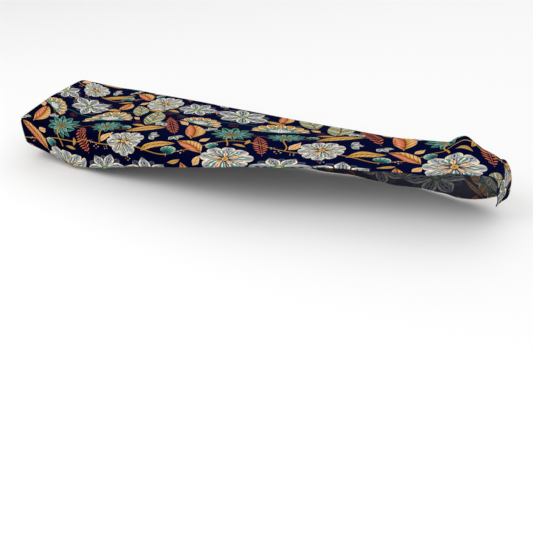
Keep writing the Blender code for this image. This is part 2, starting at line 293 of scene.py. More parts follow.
def top_level(y):
    """The cloth's level over the top: flat on the rear panel, then down to the key fronts."""
    return -FRONT_DROP * np.clip(-y / HALF_DEPTH, 0, 1) ** 1.1


def drop_path(d, top, low, wrap):
    """Inset from the face and level, a distance d past the top edge: over, down, under."""
    quarter = math.pi / 2
    down = max(top - EDGE_R - (low + LOW_R), 0.004)
    if d < quarter * EDGE_R:
        a = d / EDGE_R
        return EDGE_R * (1 - math.sin(a)), top - EDGE_R * (1 - math.cos(a))
    d -= quarter * EDGE_R
    if d < down:
        return 0.0, top - EDGE_R - d
    d -= down
    if d < quarter * LOW_R:
        a = d / LOW_R
        return LOW_R * (1 - math.cos(a)), top - EDGE_R - down - LOW_R * math.sin(a)
    d -= quarter * LOW_R
    return max(min(LOW_R + d, wrap), LOW_R), low - 0.04 * d


def path_length(top, low, wrap):
    """Length of drop_path from the top edge to the hem. A short wrap ends on the rounding."""
    down = max(top - EDGE_R - (low + LOW_R), 0.004)
    turned = math.acos(1 - min(wrap / LOW_R, 1))
    return math.pi / 2 * EDGE_R + down + LOW_R * turned + max(wrap - LOW_R, 0)


def bump(u, v, length, width):
    return math.exp(-((u / length) ** 2) - (v / width) ** 2)


def row_place(fold, hem, level):
    """The path distance of a level: rows gather where they turn over the front top edge."""
    d = np.linspace(fold, hem, 120)
    count = np.cumsum(1 + 1.6 * np.exp(-(((d - 0.008) / 0.014) ** 2)))
    return float(np.interp(count[0] + (count[-1] - count[0]) * level, count, d))


def front_point(x, row, level, low, wrap):
    """The front panel at a level from 0 at the crease to 1 at the hem."""
    front_top = top_level(-HALF_DEPTH + EDGE_R)
    d = row_place(row["fold"], row["hem"], level)
    if d < 0:
        y = -HALF_DEPTH + EDGE_R - d
        z = top_level(y)
    else:
        inset, z = drop_path(d, front_top, low, wrap)
        y = -HALF_DEPTH + inset
    # The crease stands up, and the panel in front of it sags back to the keyboard.
    z += row["ridge"] * (1 - level) ** 1.6
    for fx, at, lean, length, width, height in FRONT_FOLDS:
        along = (x - fx) - lean * 0.14 * (level - at)
        z_push = height * bump((level - at) * 0.14, along, length / 2, width)
        z += z_push * ease(-0.002, 0.03, -d) * ease(0, 0.15, level)
        y -= z_push * ease(0.0, 0.02, d)
    return y, z


def back_point(x, row, level):
    """The back panel at a level from 0 at the back top edge to 1 at its hem."""
    top = row["back_rise"]
    wrap = row["back_wrap"]
    length = path_length(top, row["back_low"], wrap)
    inset, z = drop_path(level * length, top, row["back_low"], wrap)
    out = row["back_out"] * math.sin(math.pi * min(level * 0.62 + 0.06, 1)) ** 1.2
    for fx, lean, width, height in BACK_FOLDS:
        along = (x - fx) - lean * 0.12 * (level - 0.5)
        out += height * bump(0, along, 1, width) * ease(0.05, 0.4, level)
    return HALF_DEPTH - inset + out, z


def top_point(a, front, back):
    """Over the top, from the crease at a = 0 to the back top edge at a = 1."""
    y = front[0] + (back[0] - front[0]) * a
    span = max(back[0] - front[0], 1e-6)
    # The crease's lift dies away within 50 mm, and the back edge's within 40 mm.
    from_front, from_back = a * span, (1 - a) * span
    z = top_level(y)
    near_front = math.exp(-((from_front / 0.040) ** 1.5))
    near_back = math.exp(-((from_back / 0.035) ** 1.5))
    lift_front = front[1] - top_level(front[0])
    lift_back = back[1] - top_level(back[0])
    weight = near_front + near_back * (1 - near_front)
    if weight > 0:
        share = near_back / (near_front + near_back)
        blended = lift_front * (1 - share) + lift_back * share
        linear = lift_front * (1 - a) + lift_back * a
        short = ease(0.12, 0.03, span) if span < 0.12 else 0.0
        z += (weight * blended) * (1 - short) + linear * short
    return y, z


def rounded_corner(x, y_face, inset, side):
    """Pulls a left-end point round the upright corner, by its distance from the end."""
    e = x + LEFT
    if e >= CORNER_R:
        return x, y_face
    phi = math.pi / 4 * (1 - e / CORNER_R)
    radius = CORNER_R - inset
    centre_x, centre_y = -LEFT + CORNER_R, HALF_DEPTH - CORNER_R
    return centre_x - radius * math.sin(phi), side * (centre_y + radius * math.cos(phi))


def stations():
    """Places of the sections along X: round the left corner, then closer over the hump."""
    start = [-LEFT + CORNER_R * e for e in np.linspace(0, 1, CORNER_ROWS)]
    at = np.linspace(start[-1], RIGHT, 400)
    path = np.cumsum(1 + 0.8 * ease(0.38, 0.50, at))
    path = (path - path[0]) / (path[-1] - path[0])
    rest = np.interp(np.linspace(0, 1, STATIONS - len(start) + 1)[1:], path, at)
    return np.array(start + list(rest))


def left_end(rows, front, back):
    """The left end panel: rings at each level from the front corner line to the back's."""
    grid = np.zeros((LEVELS + 1, ACROSS + 1, 3))
    centre_x, centre_y = -LEFT + CORNER_R, HALF_DEPTH - CORNER_R
    for k in range(LEVELS + 1):
        a, b, level = front[k], back[k], k / LEVELS
        grid[k, 0], grid[k, -1] = a, b
        for j in range(1, ACROSS):
            t = j / ACROSS
            y = a[1] + (b[1] - a[1]) * t
            top = top_level(y) + rows[0]["back_rise"] * t
            low = rows[0]["low"] + (rows[0]["back_low"] - rows[0]["low"]) * t
            length = path_length(top, low, CORNER_WRAP)
            inset, z_path = drop_path(level * length, top, low, CORNER_WRAP)
            flat = ease(0.0, 0.10, t) * ease(1.0, 0.90, t)
            z = (a[2] + (b[2] - a[2]) * t) * (1 - flat) + z_path * flat
            radius = CORNER_R - inset
            over = min(max(abs(y) - centre_y, 0.0), radius)
            x = min(centre_x - math.sqrt(radius**2 - over**2), -LEFT + CORNER_R)
            grid[k, j] = (x - LEFT_BULGE * math.sin(math.pi * level), y, z)
    return grid


def right_end(front, back):
    """The right end panel: a blend of its four edges, with the loose cloth's bulge."""
    along = np.linspace(0, 1, ACROSS + 1)
    hem = smooth_table(RIGHT_HEM, ("along", "x", "y", "z"), along)
    grid = np.zeros((LEVELS + 1, ACROSS + 1, 3))
    front, back = np.array(front), np.array(back)
    for j in range(ACROSS + 1):
        a = j / ACROSS
        hem_j = np.array([hem["x"][j], hem["y"][j], hem["z"][j]])
        if j == 0:
            hem_j = front[-1]
        if j == ACROSS:
            hem_j = back[-1]
        top_j = front[0] * (1 - a) + back[0] * a + np.array([0.004 * math.sin(math.pi * a), 0, 0])
        for k in range(LEVELS + 1):
            t = k / LEVELS
            corners = (
                (1 - a) * (1 - t) * front[0]
                + (1 - a) * t * front[-1]
                + a * (1 - t) * back[0]
                + a * t * back[-1]
            )
            p = (1 - t) * top_j + t * hem_j + (1 - a) * front[k] + a * back[k] - corners
            swell = math.sin(math.pi * a) ** 0.75 * math.sin(math.pi * t**0.85) ** 0.9
            grid[k, j] = p + swell * np.array([RIGHT_BULGE, 0.008 * a, 0.004])
    return grid


def cloth_panels():
    """The five panels of the cloth as grids of points on the keyboard's side of it."""
    xs = stations()
    table = smooth_table(SECTIONS, COLUMNS, xs)
    rows = [{name: table[name][i] for name in COLUMNS} for i in range(len(xs))]
    front = np.zeros((len(xs), LEVELS + 1, 3))
    back = np.zeros((len(xs), LEVELS + 1, 3))
    top = np.zeros((len(xs), ACROSS + 1, 3))
    for i, (x, row) in enumerate(zip(xs, rows)):
        wrap = CORNER_WRAP + 0.014 * ease(-0.640, -0.560, x)
        for k in range(LEVELS + 1):
            level = k / LEVELS
            out = LEFT_BULGE * math.sin(math.pi * level) * ease(-0.64, -LEFT, x)
            pair = front_point(x, row, level, row["low"], wrap), back_point(x, row, level)
            for grid, side, (y, z) in zip((front, back), (-1, 1), pair):
                at_x, at_y = rounded_corner(x, y, HALF_DEPTH - side * y, side)
                grid[i, k] = (at_x - out, at_y, z)
        for j in range(ACROSS + 1):
            a = j / ACROSS
            y, z = top_point(a, front[i, 0, 1:], back[i, 0, 1:])
            edge_x = front[i, 0, 0] + (back[i, 0, 0] - front[i, 0, 0]) * a
            top[i, j] = (edge_x, y, z)
        top[i, 0], top[i, -1] = front[i, 0], back[i, 0]
    left = left_end(rows, front[0], back[0])
    right = right_end(front[-1], back[-1])
    for j in range(1, ACROSS):
        top[0, j] = left[0, j]
        top[-1, j] = right[0, j]
    return {"front": front, "back": back, "top": top, "left": left, "right": right}


# The print's nodes


def colour(r, g, b):
    """Linear colour from the usual 0 to 255 numbers."""
    return tuple((c / 255) ** 2.2 for c in (r, g, b)) + (1.0,)


NIGHT = colour(2, 5, 32)
INK = colour(5, 12, 44)
# painted light: the lighter, bluer navy painted into the ground towards the right end
PAINTED_LIGHT_NAVY = colour(2, 15, 48)
SLATE = colour(60, 70, 98)
MIST = colour(128, 136, 146)
PEARL = colour(200, 197, 189)
CREAM = colour(246, 232, 206)
TEAL = colour(38, 102, 94)
SEA = colour(96, 162, 144)
GOLD = colour(192, 136, 50)
OCHRE = colour(128, 82, 30)
SAND = colour(218, 182, 116)
PEACH = colour(216, 152, 112)
CORAL = colour(198, 92, 58)
RUST = colour(112, 48, 34)
REVERSE = colour(70, 72, 84)


class Field:
    """A value that varies over the cloth: the output of a node, with arithmetic."""

    def __init__(self, tree, socket):
        self.tree, self.socket = tree, socket

    def __add__(self, other):
        return maths("ADD", self, other)

    def __sub__(self, other):
        return maths("SUBTRACT", self, other)

    def __rsub__(self, other):
        return maths("SUBTRACT", other, self)

    def __mul__(self, other):
        return maths("MULTIPLY", self, other)

    def __truediv__(self, other):
        return maths("DIVIDE", self, other)

    __radd__, __rmul__ = __add__, __mul__


def feed(tree, socket, value):
    if isinstance(value, Field):
        tree.links.new(value.socket, socket)
    else:
        socket.default_value = value


def maths(operation, *values, clamp=False):
    tree = next(value.tree for value in values if isinstance(value, Field))
    node = tree.nodes.new("ShaderNodeMath")
    node.operation, node.use_clamp = operation, clamp
    for socket, value in zip(node.inputs, values):
        feed(tree, socket, value)
    return Field(tree, node.outputs[0])


def sine(x):
    return maths("SINE", x)


def size(x):
    return maths("ABSOLUTE", x)


def within(depth, soft=50):
    """1 where depth is above 0, with a soft edge."""
    return maths("MULTIPLY", depth, soft, clamp=True)


def either(mask, *others):
    """1 where any of the masks is 1."""
    for other in others:
        mask = maths("MAXIMUM", mask, other)
    return mask


def polar(u, v):
    """Distance from the middle, and the angle from straight up, clockwise."""
    r = maths("SQRT", maths("MULTIPLY_ADD", u, u, v * v))
    return r, maths("ARCTAN2", u, v)


def curve(x, points):
    """A smooth profile through (place, value) points, both from 0 to 1."""
    node = x.tree.nodes.new("ShaderNodeFloatCurve")
    line = node.mapping.curves[0]
    for i, point in enumerate(points):
        if i in (0, len(points) - 1):
            line.points[0 if i == 0 else -1].location = point
        else:
            line.points.new(*point)
    node.mapping.update()
    feed(x.tree, node.inputs["Value"], x)
    return Field(x.tree, node.outputs[0])


def ramp(x, *stops, steps=False):
    """A colour by place, through (place, colour) stops."""
    node = x.tree.nodes.new("ShaderNodeValToRGB")
    band = node.color_ramp
    band.interpolation = "CONSTANT" if steps else "LINEAR"
    for i, (place, paint) in enumerate(stops):
        stop = band.elements[i] if i < 2 else band.elements.new(place)
        stop.position, stop.color = place, paint
    feed(x.tree, node.inputs[0], x)
    return Field(x.tree, node.outputs[0])


def over(mask, above, below):
    """above painted over below where the mask is 1."""
    node = mask.tree.nodes.new("ShaderNodeMix")
    node.data_type = "RGBA"
    feed(mask.tree, node.inputs[0], mask)
    feed(mask.tree, node.inputs[6], below)
    feed(mask.tree, node.inputs[7], above)
    return Field(mask.tree, node.outputs[2])


def attribute(tree, name):
    """The three parts of an attribute that the mesh carries."""
    node = tree.nodes.new("ShaderNodeAttribute")
    node.attribute_name = name
    parts = tree.nodes.new("ShaderNodeSeparateXYZ")
    tree.links.new(node.outputs["Vector"], parts.inputs[0])
    return [Field(tree, socket) for socket in parts.outputs]


def petals(r, turn, count, reach, profile, wide=1.0):
    """A ring of petals: depth inside one, place along it, place across it from 0 to 1."""
    half = math.pi / count
    off = maths("WRAP", turn, half, -half)
    place = r * maths("COSINE", off) / reach
    side = r * size(sine(off))
    width = curve(place, [(at, value * wide) for at, value in profile])
    return width - side, place, side / maths("MAXIMUM", width, 0.01)


def leaf(u, v, profile, bend):
    """Depth inside a leaf from v = -1 at its stalk to 1 at its tip, and u from its midrib
    with its sign and without.
    """
    off = u + bend * (v * v - 0.4)
    side = size(off)
    return curve(v * 0.5 + 0.5, profile) - side, off, side


def edged(depth, line, width, inner):
    """inner with an outline of this width along its edge."""
    return over(within(width - depth, 40), line, inner)


# Half widths of petals by the place along them, and of leaves from stalk to tip.
POINTED = ((0, 0.02), (0.3, 0.17), (0.6, 0.27), (0.85, 0.13), (1, 0))
NARROW = ((0, 0.02), (0.4, 0.12), (0.7, 0.19), (0.88, 0.11), (1, 0))
ROUNDED = ((0, 0.02), (0.5, 0.15), (0.8, 0.235), (0.93, 0.19), (1, 0))
BROAD = ((0, 0), (0.12, 0.22), (0.38, 0.46), (0.66, 0.40), (0.88, 0.16), (1, 0))
SLIM = ((0, 0), (0.16, 0.15), (0.42, 0.30), (0.7, 0.24), (0.9, 0.09), (1, 0))
SEEDED = ((0, 0.02), (0.25, 0.26), (0.55, 0.30), (0.85, 0.17), (1, 0.02))
PLUMP = ((0, 0), (0.14, 0.20), (0.36, 0.46), (0.6, 0.38), (0.82, 0.14), (1, 0))


# Each motif takes its own place, u across and v up from about -1 to 1, and gives a mask and a
# colour. The numbers in it are places and sizes on that scale.


def lily(u, v):
    """Six pointed petals over six darker ones, with contour lines and a teal heart."""
    r, turn = polar(u, v)
    r = r * (1 + 0.13 * sine(turn * 2 + 0.7))
    depth, _, across = petals(r, turn + 0.52, 6, 0.92, NARROW)
    paint = ramp(across, (0, INK), (0.16, SLATE), (0.42, SLATE), (0.5, INK), (0.6, SLATE), (0.88, MIST))
    front, along, across = petals(r, turn, 6, 1, POINTED)
    veins = ramp(
        across + 0.07 * sine(along * 26),
        (0, INK), (0.05, SLATE), (0.16, MIST), (0.30, PEARL), (0.36, INK),
        (0.42, SLATE), (0.56, MIST), (0.66, PEARL), (0.72, INK), (0.78, CREAM),
    )
    base = ramp(across, (0, INK), (0.2, TEAL), (0.6, SEA), (0.9, CREAM))
    veins = edged(front, CREAM, 0.022, over(within(0.40 - along, 5), base, veins))
    shadow = within(front + 0.04)
    paint = over(within(front), veins, over(shadow, NIGHT, paint))
    heart = 0.22 + 0.035 * sine(turn * 8) - r
    rings = ramp(
        r * 4,
        (0, GOLD), (0.24, SAND), (0.3, INK), (0.4, SEA), (0.6, TEAL), (0.68, INK), (0.76, SAND),
    )
    return either(within(depth), shadow), over(within(heart), rings, paint)


def lotus(u, v):
    """A half flower seen from the side: gold scallops behind, teal petals in front."""
    r, turn = polar(u, v + 0.52)
    r = r * 1.52
    depth, along, across = petals(r, turn, 16, 1.62, ROUNDED, 1.12)
    mask = within(depth) * within(1.50 - size(turn), 20)
    paint = ramp(
        across,
        (0, OCHRE), (0.10, SAND), (0.22, GOLD), (0.40, OCHRE), (0.46, INK),
        (0.52, SAND), (0.66, GOLD), (0.72, INK), (0.80, CREAM),
    )
    paint = over(within(0.62 - along, 8), INK, paint)
    depth, _, across = petals(r, turn + 0.262, 12, 1.20, POINTED, 1.05)
    front = within(depth + 0.03) * within(1.58 - size(turn), 20)
    teal = ramp(
        across,
        (0, CREAM), (0.08, INK), (0.16, TEAL), (0.42, SEA), (0.50, INK), (0.58, TEAL), (0.74, INK),
        (0.80, CREAM),
    )
    paint = over(front, over(within(depth), teal, NIGHT), paint)
    depth, _, across = petals(r, turn, 8, 0.78, POINTED, 1.10)
    cup = within(depth + 0.03) * within(1.2 - size(turn), 20)
    pale = ramp(
        across,
        (0, SLATE), (0.14, PEARL), (0.40, CREAM), (0.5, INK), (0.58, PEARL), (0.74, INK), (0.8, CREAM),
    )
    return either(mask, front, cup), over(cup, over(within(depth), pale, NIGHT), paint)


PEONY_RINGS = (
    # petals, reach, turn, width, then the colours across half a petal
    (
        9, 1, 0, 1.18, (0, SLATE), (0.10, MIST), (0.22, PEARL), (0.28, SLATE), (0.34, MIST),
        (0.48, PEARL), (0.53, SLATE), (0.60, PEARL), (0.72, CREAM), (0.77, INK), (0.83, CREAM),
    ),
    (
        7, 0.76, 0.4, 1.1, (0, CREAM), (0.12, PEARL), (0.20, TEAL), (0.34, SEA), (0.44, TEAL),
        (0.52, INK), (0.58, MIST), (0.74, PEARL), (0.79, INK), (0.84, CREAM),
    ),
    (
        5, 0.50, 0.1, 0.9, (0, RUST), (0.14, PEACH), (0.40, SAND), (0.55, CREAM), (0.7, PEACH),
        (0.78, INK), (0.84, CREAM),
    ),
)


def peony(u, v):
    """A full bloom: three rings of rounded petals with fine streaks, round a gold eye."""
    r, turn = polar(u, v)
    r = r * (1 + 0.06 * sine(turn * 3 + 1))
    masks, paint = [], NIGHT
    for count, reach, start, wide, *stops in PEONY_RINGS:
        depth, along, across = petals(r, turn + start, count, reach, ROUNDED, wide * reach)
        petal = ramp(across + 0.05 * sine(along * 21), *stops)
        petal = over(within(0.42 - along, 6) * 0.7, INK, petal)
        masks.append(within(depth + 0.035))
        paint = over(within(depth), petal, over(masks[-1], NIGHT, paint))
    heart = 0.15 + 0.02 * sine(turn * 9) - r
    eye = ramp(r * 6, (0, RUST), (0.4, GOLD), (0.7, SAND), (0.78, INK))
    return either(*masks), over(within(heart), eye, paint)


def turned_leaf(u, v):
    """A broad leaf, coral on one side of its rib and gold on the other, with fine veins."""
    depth, off, side = leaf(u, v, BROAD, 0.22)
    vein = within(sine(v * 21 - side * 26 + 0.8 * sine(v * 5)) - 0.5, 3)
    warm = ramp(side * 2.2, (0, RUST), (0.12, CORAL), (0.6, PEACH), (0.85, CORAL))
    light = ramp(side * 2.2, (0, OCHRE), (0.12, GOLD), (0.6, SAND), (0.85, PEACH))
    paint = over(within(off + 0.002 * v, 60), light, warm)
    paint = over(vein * 0.8, RUST, paint)
    paint = over(within(0.022 - side), INK, paint)
    stalk = within(0.03 - size(u + 0.13)) * within(-0.8 - v, 30) * within(v + 1.1, 30)
    return either(within(depth), stalk), edged(depth, SAND, 0.035, paint)


def palm(u, v):
    """A spray of pointed leaves on a short gold stem."""
    r, turn = polar(u, v - 0.12)
    grown = r / (0.84 + 0.16 * maths("COSINE", turn))
    depth, along, across = petals(grown, turn, 11, 1.04, NARROW, 0.80)
    paint = ramp(across * 0.7, (0.05, INK), (0.12, TEAL), (0.36, TEAL), (0.55, SEA))
    paint = over(within(0.46 - along, 5), OCHRE, paint)
    paint = edged(depth, GOLD, 0.024, paint)
    inner, along, across = petals(grown, turn + 0.29, 11, 0.72, NARROW, 0.56)
    paint = over(within(inner + 0.06), NIGHT, paint)
    leaves = ramp(
        across * 0.5 + along * 0.5,
        (0.1, RUST), (0.24, GOLD), (0.36, TEAL), (0.62, SEA), (0.9, PEARL),
    )
    paint = over(within(inner), leaves, paint)
    stem = within(0.034 - size(u - 0.10 * sine(v * 4))) * within(0.0 - v, 20)
    return either(within(depth), stem, within(inner + 0.045)), over(stem, GOLD, paint)


def striped_leaf(u, v):
    """A broad leaf in slanting bands."""
    depth, off, side = leaf(u, v, BROAD, 0.16)
    band = maths("FRACT", v * 1.55 - side * 1.7 + within(off, 60) * 0.37)
    paint = ramp(
        band,
        (0, SEA), (0.26, CREAM), (0.32, GOLD), (0.44, INK), (0.51, CREAM), (0.56, TEAL), (0.76, SAND),
        (0.82, GOLD), (0.92, INK),
        steps=True,
    )
    paint = over(within(0.035 - side), RUST, paint)
    return within(depth), edged(depth, SAND, 0.032, paint)


def veined_leaf(u, v):
    """A slim gold leaf with fine side veins."""
    depth, _, side = leaf(u, v, SLIM, 0.14)
    vein = within(sine(v * 24 - side * 34) - 0.35, 3)
    paint = ramp(side * 3, (0, OCHRE), (0.1, GOLD), (0.6, SAND), (0.75, GOLD), (1, OCHRE))
    paint = over(vein * 0.85, OCHRE, paint)
    paint = over(within(0.02 - side), RUST, paint)
    return within(depth), edged(depth, SAND, 0.035, paint)


def sprig(u, v):
    """A coral stem with two rows of seeds."""
    side = size(u)
    reach = curve(v * 0.5 + 0.5, SEEDED)
    cell = maths("FRACT", v * 5.2 - side * 3.6) - 0.5
    flat = (side - reach * 0.58) / maths("MAXIMUM", reach * 0.42, 0.02)
    seed = 1 - flat * flat - cell * cell * 20
    stem = within(0.022 - side) * within(0.96 - size(v), 20)
    paint = ramp(cell + 0.5, (0.2, RUST), (0.45, CORAL), (0.8, PEACH))
    return either(within(seed, 4), stem), over(stem, CORAL, paint)


def fan_leaf(u, v):
    """A teal leaf like a half-open fan, with ribs from its stalk."""
    r, turn = polar(u, v + 0.72)
    depth = 1.55 - r - 0.55 * turn * turn
    mask = within(depth, 30) * within(1.15 - size(turn), 30)
    rib = within(sine(turn * 17) - 0.5, 3)
    paint = ramp(r * 0.65, (0.1, INK), (0.4, TEAL), (0.75, SEA), (0.95, PEARL))
    paint = edged(depth, CREAM, 0.07, over(rib * 0.9, INK, paint))
    stalk = within(0.045 - size(u)) * within(-0.5 - v, 30) * within(v + 1, 30)
    return either(mask, stalk), over(stalk, GOLD, paint)


def bud(u, v):
    """A peach bud with a gold middle."""
    depth, _, side = leaf(u, v - 0.1, PLUMP, 0.1)
    paint = ramp(side * 2 + 0.1 * sine(v * 16), (0, GOLD), (0.3, SAND), (0.6, PEACH), (0.9, CORAL))
    paint = over(within(0.03 - side), OCHRE, paint)
    return within(depth), edged(depth, CREAM, 0.06, paint)


def bell(u, v):
    """A pale bell flower with three long points."""
    r, turn = polar(u, v + 0.8)
    depth, along, across = petals(r * 1.08, turn, 7, 1.7, POINTED, 1.5)
    mask = within(depth) * within(1.34 - size(turn), 30)
    paint = ramp(
        across,
        (0, INK), (0.07, SLATE), (0.2, MIST), (0.38, PEARL), (0.46, INK), (0.52, SLATE), (0.66, PEARL),
        (0.72, INK), (0.8, CREAM),
    )
    return mask, over(within(0.34 - along, 6), TEAL, paint)


def tendril(u, v):
    """A thin coral spiral."""
    r, turn = polar(u, v)
    line = size(maths("FRACT", r * 2.2 - turn / math.tau) - 0.5)
    return within(0.075 - line, 20) * within(0.9 - r, 20), ramp(r, (0, CORAL), (1, RUST))


def dots(u, v):
    """A few round seeds in white and red."""
    across, up = u * 1.5, v * 1.5
    column, row = maths("FRACT", across) - 0.5, maths("FRACT", up) - 0.5
    depth = 0.055 - (column * column + row * row)
    mixed = maths("FRACT", maths("FLOOR", across) * 0.37 + maths("FLOOR", up) * 0.61)
    paint = ramp(mixed, (0, PEARL), (0.6, CREAM), (0.62, CORAL), steps=True)
    return within(depth, 20) * within(0.62 - maths("MULTIPLY_ADD", u, u, v * v), 20), paint


LARGE_KINDS = (lily, lotus, peony, palm, striped_leaf, sprig, veined_leaf, turned_leaf)
SMALL_KINDS = (veined_leaf, fan_leaf, bud, bell, tendril, dots)


def drawn(tree, name, kinds, below):
    """The motifs of one layer over the colour below, each where its number stands."""
    u, v, number = attribute(tree, name)
    for i, kind in enumerate(kinds):
        mask, paint = kind(u, v)
        below = over(mask * maths("COMPARE", number, float(i), 0.4), paint, below)
    return below


# The print's layout, in millimetres

REPEAT = (400.0, 310.0, 180.0)  # length, depth, and how far each next row is moved along
RAISED = 26  # how far the repeat starts from the front hem
SEED = 41
# For each motif its width against its length, how far it may be turned either way, and
# circles (u, v, radius) that keep its room, in motif lengths.
MOTIFS = {
    "lily": (1.0, 0.5, ((0, 0, 0.98),)),
    "lotus": (
        1.1, 0.45,
        (
            (0, 0.02, 0.56), (-0.55, -0.12, 0.44), (0.55, -0.12, 0.44), (-0.85, -0.36, 0.18),
            (0.85, -0.36, 0.18),
        ),
    ),
    "peony": (1.0, 0.8, ((0, 0, 0.94),)),
    "palm": (0.9, 0.6, ((0, 0.12, 0.84), (0, -0.75, 0.2))),
    "turned_leaf": (0.55, 1.2, ((0, -0.3, 0.5), (0, 0.12, 0.52), (0, 0.55, 0.3), (0, -0.8, 0.15))),
    "striped_leaf": (
        0.55, 1.3,
        ((0.03, -0.2, 0.46), (0.03, 0.15, 0.44), (0, 0.6, 0.24), (0, -0.72, 0.2)),
    ),
    "sprig": (
        0.36, 0.7,
        ((0, -0.35, 0.3), (0, 0.05, 0.31), (0, 0.42, 0.27), (0, 0.78, 0.16), (0, -0.78, 0.16)),
    ),
    "veined_leaf": (
        0.36, 2.0,
        ((0.03, -0.25, 0.28), (0.05, 0.1, 0.29), (0.03, 0.5, 0.22), (0, 0.85, 0.08), (0, -0.72, 0.14)),
    ),
    "fan_leaf": (1.0, 1.0, ((0, 0, 0.8), (0, -0.8, 0.12))),
    "bud": (0.5, 1.6, ((0, -0.1, 0.46), (0, 0.5, 0.2), (0, -0.7, 0.15))),
    "bell": (1.0, 2.6, ((0, 0.1, 0.8), (0, -0.6, 0.2))),
    "tendril": (1.0, 3.0, ((0, 0, 0.8),)),
    "dots": (1.0, 3.0, ((0, 0, 0.7),)),
}
# What one repeat holds: kind, and the reach from the middle to the tip of each of its motifs.
LARGE = (
    ("lily", 60, 53), ("lotus", 59, 51), ("peony", 54, 44), ("turned_leaf", 48, 39), ("palm", 53, 45),
    ("striped_leaf", 55, 46), ("sprig", 57, 49), ("veined_leaf", 50, 42), ("turned_leaf", 34),
)
SMALL = (
    ("fan_leaf", 20, 17, 15), ("bell", 21, 18, 16, 14), ("bud", 22, 20, 18, 16, 14),
    ("veined_leaf", 28, 25, 23, 21, 19, 17, 16, 15), ("tendril", 18, 16, 14, 12),
    ("dots", 14, 13, 12, 11, 10),
)
LAYERS = (
    # motifs, gap between them, steps of the layout, how large they are drawn in their room
    (LARGE, 4, 9000, 0.95),
    (SMALL, 2, 12000, 0.9),
)
SHARED_ROOM = 0.9  # the small ones come a little into the large ones' room
JUMP = 0.04  # chance that a first step moves a motif anywhere
NUDGE, TWIST = (3, 22), (0.08, 0.4)  # a step's usual move and turn: at last, and more at first
HEAT = 400  # how much crowding a first step may usually add

STRETCH = 1.34  # the knit is stretched along the keyboard
TOP_SCALE = 1.16  # and drawn in a little over the top
LAID = 0.27  # slope of the drawn-back hem
PANELS = {"F": "front", "K": "back", "T": "top", "L": "left", "R": "right"}
# Motifs given one by one where the end panels and the back's left corner would have too few.
END_MOTIFS = (
    # kind, along, deep, reach, turn, wide, panel
    ("lily", 546, 58, 42, 0.9, 1.0, "R"),
    ("veined_leaf", 524, 100, 26, 0.5, 0.4, "R"),
    ("striped_leaf", 499, 15, 29, 0.6, 0.55, "R"),
    ("peony", -566, 362, 36, 0.3, 1.0, "L"),
    ("veined_leaf", -524, 402, 24, 0.9, 0.36, "L"),
    ("lily", -457, 476, 36, 0.3, 1.0, "K"),
)
BEYOND = 90  # motifs are laid this far past the cloth's edges
BESIDE = 160  # and compared round a corner this far from it
OFF_CLOTH = 15  # a middle further than this from its panel isn't on it
CLOSEST, NARROWEST = 0.95, 0.6  # room that two leave each other, and the least width it counts
SHAPE_REACH = 1.6  # faces further than this many reaches from a middle aren't looked at
FURTHEST = 9.0  # nor those with a squared distance above this, in motif lengths


def room_of(kind, x, y, reach, turn):
    """The circles that keep a motif's room, as x, y and radius."""
    u, v, radius = np.array(MOTIFS[kind][2]).T
    c, s = math.cos(turn), math.sin(turn)
    return np.stack([x + (u * c + v * s) * reach, y + (v * c - u * s) * reach, radius * reach], axis=1)


def crowding(room, others, gap):
    """How far circles reach into others anywhere on the repeating print, squared and summed."""
    long, deep, moved = REPEAT
    x, y, reach = np.moveaxis(room[:, None] - others * (1, 1, -1), 2, 0)
    rows = np.round(y / deep)
    x = x - rows * moved
    apart = np.hypot(x - np.round(x / long) * long, y - rows * deep)
    return (np.clip(reach + gap - apart, 0, None) ** 2).sum()


def spread_out(table, taken, gap, steps, draw):
    """Motifs moved about at random, less and less, until they hardly crowd each other."""
    long, deep, moved = REPEAT
    motifs = []
    for kind, *reaches in table:
        most = MOTIFS[kind][1]
        for reach in reaches:
            motifs.append(
                (kind, draw.uniform(0, long), draw.uniform(0, deep), reach, draw.uniform(-most, most))
            )
    rooms = [room_of(*motif) for motif in motifs]
    for step in range(steps):
        left = 1 - step / steps
        i = draw.integers(len(motifs))
        kind, x, y, reach, turn = motifs[i]
        if draw.random() < JUMP * left:
            x, y = draw.uniform(0, long), draw.uniform(0, deep)
        else:
            nudge = NUDGE[0] + NUDGE[1] * left
            x, y = x + draw.normal(0, nudge), y + draw.normal(0, nudge)
        x, y = (x - y // deep * moved) % long, y % deep
        most = MOTIFS[kind][1]
        turn = min(max(turn + draw.normal(0, TWIST[0] + TWIST[1] * left), -most), most)
        room = room_of(kind, x, y, reach, turn)
        others = np.concatenate([taken, *rooms[:i], *rooms[i + 1 :]])
        worse = crowding(room, others, gap) - crowding(rooms[i], others, gap)
        if worse < 0 or draw.random() < math.exp(-worse / max(HEAT * left**2, 1e-6)):
            motifs[i], rooms[i] = (kind, x, y, reach, turn), room
    return motifs, np.concatenate(rooms)


def lay_print():
    """One repeat of the print as layers of motifs: kind, along, deep, reach, turn, wide."""
    draw = np.random.default_rng(SEED)
    room, layers = np.zeros((0, 3)), []
    for table, gap, steps, share in LAYERS:
        motifs, room = spread_out(table, room * (1, 1, SHARED_ROOM), gap, steps, draw)
        layers.append(
            [
                (kind, x, y + RAISED, reach * share, turn, MOTIFS[kind][0])
                for kind, x, y, reach, turn in motifs
            ]
        )
    return layers


def walked(grid, axis, from_end=False):
    """Distance along a grid's columns (axis 0) or rows (axis 1) from their first or last point."""
    if from_end:
        grid = np.flip(grid, axis)
    steps = np.linalg.norm(np.diff(grid, axis=axis), axis=2)
    gone = np.insert(np.cumsum(steps, axis=axis), 0, 0, axis=axis)
    return np.flip(gone, axis) if from_end else gone


